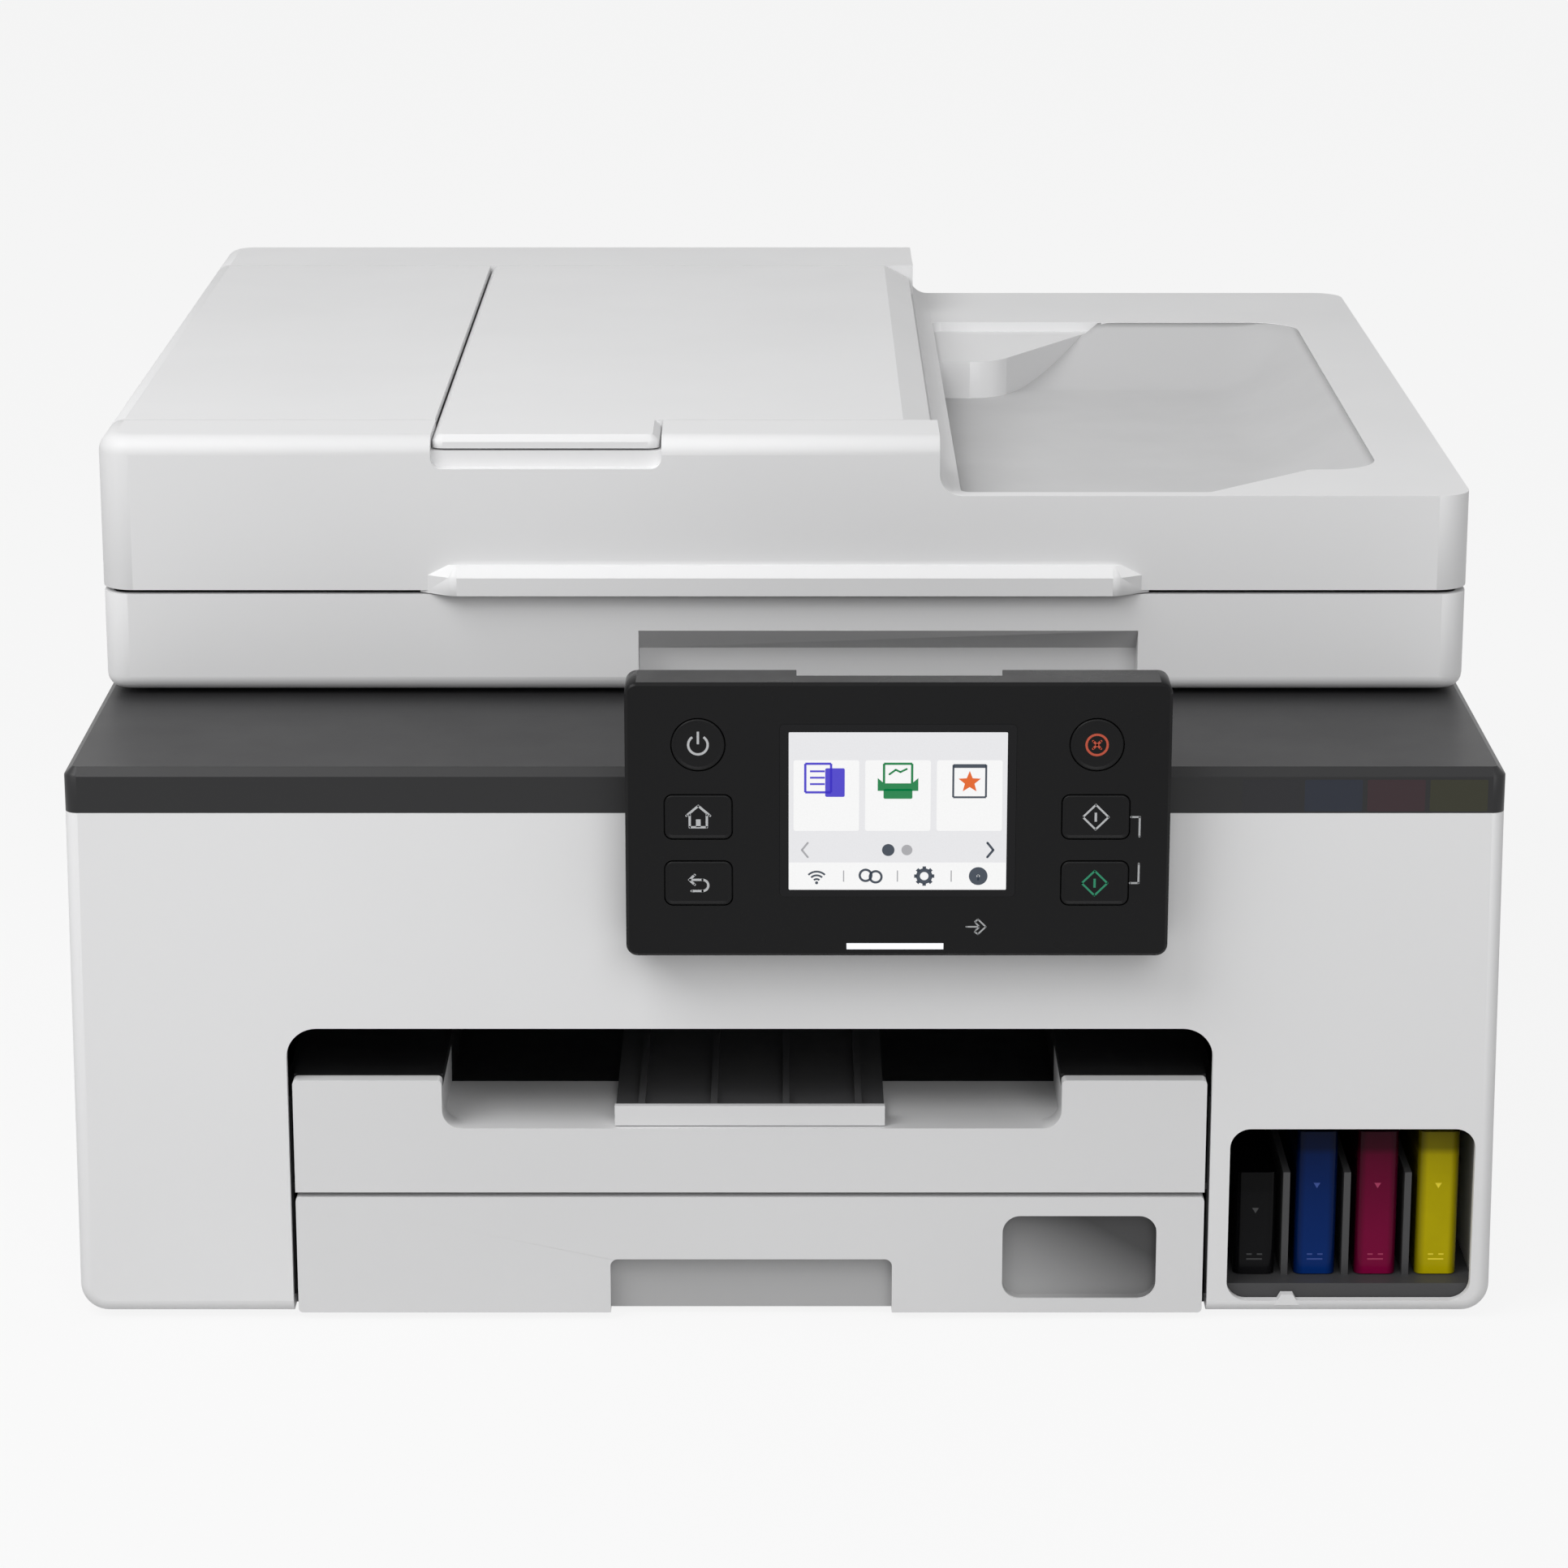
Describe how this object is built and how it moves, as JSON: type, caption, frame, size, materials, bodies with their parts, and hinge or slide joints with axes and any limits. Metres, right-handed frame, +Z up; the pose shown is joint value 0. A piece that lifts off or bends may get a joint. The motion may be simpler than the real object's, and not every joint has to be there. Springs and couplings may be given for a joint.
{
  "type": "inkjet printer",
  "caption": "All-in-one ink tank inkjet printer: lift-up flatbed scanner, sheet feeder lid, tilting panel with display, ink window, paper cassette and catch tray.",
  "frame": {"origin": "centre of the bounding box's bottom face, on the table the feet stand on", "axes": "+Z up, -Y towards the front with the control panel, +X to the right seen from the front"},
  "size_m": [0.3768, 0.4163, 0.225],
  "materials": {
    "white_shell": "fine satin texture",
    "tray_white": "satin",
    "dark_shell": "fine grained",
    "panel_black": "semi gloss",
    "inner_plastic": "plain moulded",
    "display_glass": "gloss",
    "light_guide": "translucent white",
    "ink_black": "clear tank full of black ink",
    "ink_cyan": "clear tank full of cyan ink",
    "ink_magenta": "clear tank full of magenta ink",
    "ink_yellow": "clear tank full of yellow ink",
    "cap_rubber": "soft moulded",
    "roller_rubber": "ground",
    "belt_rubber": "toothed belt",
    "foot_rubber": "matte",
    "steel": "plated sheet and rod",
    "pulley_plastic": "plain moulded",
    "board": "solder resist",
    "flat_glass": "polished",
    "pad_foam": "white foam sheet"
  },
  "bodies": {
    "chassis": {"base_pan": "dark_shell", "main_cover": "white_shell", "top_deck": "dark_shell", "rubber_feet": "foot_rubber", "tank_bay": "dark_shell", "ink_tank_black": "ink_black", "ink_tank_cyan": "ink_cyan", "ink_tank_magenta": "ink_magenta", "ink_tank_yellow": "ink_yellow", "engine_frame": "dark_shell", "carriage_rail": "steel", "carriage_belt": "belt_rubber", "carriage_motor": "steel", "platen": "inner_plastic", "purge_unit": "inner_plastic", "main_board": "board", "power_supply": "steel", "power_inlet": "inner_plastic"},
    "jam_door": {"rear_cover": "white_shell"},
    "paper_drawer": {"cassette_tray": "inner_plastic", "cassette_front": "tray_white"},
    "left_guide": {"side_guide_left": "inner_plastic"},
    "right_guide": {"side_guide_right": "inner_plastic"},
    "catch_tray": {"output_tray": "tray_white"},
    "catch_extension": {"output_extension": "tray_white"},
    "print_carriage": {"carriage": "inner_plastic"},
    "motor_pulley": {"drive_pulley": "pulley_plastic"},
    "tension_pulley": {"idler_pulley": "pulley_plastic"},
    "main_roller": {"feed_roller": "roller_rubber"},
    "idle_rollers": {"pinch_rollers": "roller_rubber"},
    "exit_roller": {"eject_roller": "roller_rubber"},
    "pickup_swing": {"pickup_arm": "inner_plastic"},
    "pickup_wheel": {"pickup_roller": "roller_rubber"},
    "control_panel": {"panel_case": "panel_black", "panel_back": "dark_shell", "panel_display": "display_glass", "status_light": "light_guide"},
    "scanner": {"scanner_case": "white_shell", "scanner_hinge_pins": "pulley_plastic", "scanner_frame": "inner_plastic", "scanner_glass": "flat_glass", "scan_rail": "steel"},
    "scan_bar": {"scan_head": "inner_plastic"},
    "lid": {"lid_shell": "white_shell", "lid_hinge_pins": "pulley_plastic", "lid_pad": "pad_foam"},
    "feeder_door": {"feeder_cover": "white_shell"},
    "document_flap": {"document_tray": "white_shell"},
    "sheet_feed_roller": {"adf_feed_roller": "roller_rubber"},
    "sheet_pickup_roller": {"adf_pickup_roller": "roller_rubber"},
    "cap_black": {"tank_cap_black": "cap_rubber"},
    "cap_cyan": {"tank_cap_cyan": "cap_rubber"},
    "cap_magenta": {"tank_cap_magenta": "cap_rubber"},
    "cap_yellow": {"tank_cap_yellow": "cap_rubber"},
    "key_power": {"button_power": "panel_black"},
    "key_home": {"button_home": "panel_black"},
    "key_back": {"button_back": "panel_black"},
    "key_stop": {"button_stop": "panel_black"},
    "key_start_black": {"button_start_black": "panel_black"},
    "key_start_colour": {"button_start_colour": "panel_black"}
  },
  "joints": [
    {"name": "scanner_lift", "type": "hinge", "parent": "chassis", "child": "scanner", "pos_m": [0, 0.201, 0.1582], "axis": [-1, 0, 0], "range_deg": [0, 45]},
    {"name": "lid_open", "type": "hinge", "parent": "scanner", "child": "lid", "pos_m": [0, 0.201, 0.1866], "axis": [-1, 0, 0], "range_deg": [0, 75]},
    {"name": "feeder_cover_open", "type": "hinge", "parent": "lid", "child": "feeder_door", "pos_m": [-0.1845, 0.0345, 0.2075], "axis": [0, -1, 0], "range_deg": [0, 75]},
    {"name": "document_tray_open", "type": "hinge", "parent": "lid", "child": "document_flap", "pos_m": [0.0382, 0.0345, 0.2195], "axis": [0, 1, 0], "range_deg": [0, 155]},
    {"name": "adf_feed_turn", "type": "hinge", "parent": "lid", "child": "sheet_feed_roller", "pos_m": [-0.146, 0.0345, 0.207], "axis": [0, 1, 0], "continuous": true},
    {"name": "adf_pickup_turn", "type": "hinge", "parent": "lid", "child": "sheet_pickup_roller", "pos_m": [-0.112, 0.0345, 0.213], "axis": [0, 1, 0], "continuous": true},
    {"name": "scan_slide", "type": "slide", "parent": "scanner", "child": "scan_bar", "axis": [1, 0, 0], "range_m": [0, 0.3]},
    {"name": "panel_tilt", "type": "hinge", "parent": "chassis", "child": "control_panel", "pos_m": [0.029, -0.187, 0.158], "axis": [-1, 0, 0], "range_deg": [0, 50]},
    {"name": "cassette_slide", "type": "slide", "parent": "chassis", "child": "paper_drawer", "axis": [0, -1, 0], "range_m": [0, 0.25]},
    {"name": "guide_left_slide", "type": "slide", "parent": "paper_drawer", "child": "left_guide", "axis": [1, 0, 0], "range_m": [0, 0.04]},
    {"name": "guide_right_slide", "type": "slide", "parent": "paper_drawer", "child": "right_guide", "axis": [-1, 0, 0], "range_m": [0, 0.04]},
    {"name": "output_tray_slide", "type": "slide", "parent": "chassis", "child": "catch_tray", "axis": [0, -1, 0], "range_m": [0, 0.09]},
    {"name": "extension_slide", "type": "slide", "parent": "catch_tray", "child": "catch_extension", "axis": [0, -1, 0], "range_m": [0, 0.08]},
    {"name": "carriage_slide", "type": "slide", "parent": "chassis", "child": "print_carriage", "axis": [-1, 0, 0], "range_m": [0, 0.25]},
    {"name": "drive_pulley_turn", "type": "hinge", "parent": "chassis", "child": "motor_pulley", "pos_m": [0.158, 0.107, 0.112], "axis": [0, 1, 0], "continuous": true},
    {"name": "idler_pulley_turn", "type": "hinge", "parent": "chassis", "child": "tension_pulley", "pos_m": [-0.138, 0.107, 0.112], "axis": [0, 1, 0], "continuous": true},
    {"name": "feed_turn", "type": "hinge", "parent": "chassis", "child": "main_roller", "pos_m": [0, 0.072, 0.078], "axis": [1, 0, 0], "continuous": true},
    {"name": "pinch_turn", "type": "hinge", "parent": "chassis", "child": "idle_rollers", "pos_m": [0, 0.072, 0.0879], "axis": [1, 0, 0], "continuous": true},
    {"name": "eject_turn", "type": "hinge", "parent": "chassis", "child": "exit_roller", "pos_m": [0, 0.003, 0.076], "axis": [1, 0, 0], "continuous": true},
    {"name": "pickup_arm_swing", "type": "hinge", "parent": "chassis", "child": "pickup_swing", "pos_m": [-0.00925, 0.1, 0.066], "axis": [1, 0, 0], "range_deg": [0, 8]},
    {"name": "pickup_turn", "type": "hinge", "parent": "pickup_swing", "child": "pickup_wheel", "pos_m": [-0.00925, 0.124, 0.02], "axis": [1, 0, 0], "continuous": true},
    {"name": "rear_cover_open", "type": "hinge", "parent": "chassis", "child": "jam_door", "pos_m": [0, 0.2055, 0.041], "axis": [-1, 0, 0], "range_deg": [0, 70]},
    {"name": "cap_black_open", "type": "hinge", "parent": "chassis", "child": "cap_black", "pos_m": [0.12612, -0.074, 0.0625], "axis": [-1, 0, 0], "range_deg": [0, 110]},
    {"name": "cap_cyan_open", "type": "hinge", "parent": "chassis", "child": "cap_cyan", "pos_m": [0.14238, -0.074, 0.0625], "axis": [-1, 0, 0], "range_deg": [0, 110]},
    {"name": "cap_magenta_open", "type": "hinge", "parent": "chassis", "child": "cap_magenta", "pos_m": [0.15862, -0.074, 0.0625], "axis": [-1, 0, 0], "range_deg": [0, 110]},
    {"name": "cap_yellow_open", "type": "hinge", "parent": "chassis", "child": "cap_yellow", "pos_m": [0.17488, -0.074, 0.0625], "axis": [-1, 0, 0], "range_deg": [0, 110]},
    {"name": "power_press", "type": "slide", "parent": "control_panel", "child": "key_power", "axis": [0, 1, 0], "range_m": [0, 0.0006], "stiffness_N_per_m": 400},
    {"name": "home_press", "type": "slide", "parent": "control_panel", "child": "key_home", "axis": [0, 1, 0], "range_m": [0, 0.0006], "stiffness_N_per_m": 400},
    {"name": "back_press", "type": "slide", "parent": "control_panel", "child": "key_back", "axis": [0, 1, 0], "range_m": [0, 0.0006], "stiffness_N_per_m": 400},
    {"name": "stop_press", "type": "slide", "parent": "control_panel", "child": "key_stop", "axis": [0, 1, 0], "range_m": [0, 0.0006], "stiffness_N_per_m": 400},
    {"name": "start_black_press", "type": "slide", "parent": "control_panel", "child": "key_start_black", "axis": [0, 1, 0], "range_m": [0, 0.0006], "stiffness_N_per_m": 400},
    {"name": "start_colour_press", "type": "slide", "parent": "control_panel", "child": "key_start_colour", "axis": [0, 1, 0], "range_m": [0, 0.0006], "stiffness_N_per_m": 400}
  ],
  "couplings": [
    {"joint": "adf_pickup_turn", "follows": "adf_feed_turn", "ratio": 1.5},
    {"joint": "guide_right_slide", "follows": "guide_left_slide", "ratio": 1},
    {"joint": "drive_pulley_turn", "follows": "carriage_slide", "rad_per_m": 125},
    {"joint": "idler_pulley_turn", "follows": "carriage_slide", "rad_per_m": 125},
    {"joint": "pinch_turn", "follows": "feed_turn", "ratio": -1.7143},
    {"joint": "eject_turn", "follows": "feed_turn", "ratio": 1.3333}
  ]
}
